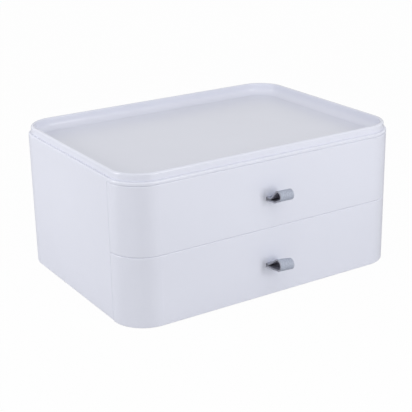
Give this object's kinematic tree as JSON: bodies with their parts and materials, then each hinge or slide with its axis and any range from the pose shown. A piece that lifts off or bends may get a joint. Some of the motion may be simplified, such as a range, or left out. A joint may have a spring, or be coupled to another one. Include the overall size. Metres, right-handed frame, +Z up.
{
  "type": "desk organizer with drawers",
  "caption": "White plastic desk organizer: sliding drawers with rounded wrap-round fronts and grey strap pulls under a raised-rim tray.",
  "frame": {"origin": "at table level, at the middle of the footprint of casing and pulls together", "axes": "+X to the right of someone facing the drawers, +Y to the back, +Z up"},
  "size_m": [0.24, 0.1949, 0.1143],
  "materials": {
    "casing_plastic": "satin gloss white",
    "tray_plastic": "polished white",
    "front_plastic": "satin gloss white",
    "box_plastic": "smooth white",
    "inner_plastic": "plain white",
    "clamp_plastic": "grey",
    "strap": "grey coated strap",
    "rubber": "translucent grey",
    "screw_steel": "zinc plated"
  },
  "bodies": {
    "casing": {"casing_shell": "casing_plastic", "top_tray": "tray_plastic", "base_panel": "inner_plastic", "middle_shelf": "inner_plastic", "rubber_feet": "rubber", "closing_pads": "rubber", "base_screws": "screw_steel", "shelf_screws": "screw_steel"},
    "lower_drawer": {"lower_drawer_box": "box_plastic", "lower_drawer_front": "front_plastic", "lower_front_screws": "screw_steel", "lower_pull_strap": "strap", "lower_strap_clamp": "clamp_plastic", "lower_clamp_screws": "screw_steel"},
    "upper_drawer": {"upper_drawer_box": "box_plastic", "upper_drawer_front": "front_plastic", "upper_front_screws": "screw_steel", "upper_pull_strap": "strap", "upper_strap_clamp": "clamp_plastic", "upper_clamp_screws": "screw_steel"}
  },
  "joints": [
    {"name": "lower_drawer_slide", "type": "slide", "parent": "casing", "child": "lower_drawer", "axis": [0, -1, 0], "range_m": [0, 0.12]},
    {"name": "upper_drawer_slide", "type": "slide", "parent": "casing", "child": "upper_drawer", "axis": [0, -1, 0], "range_m": [0, 0.12]}
  ]
}
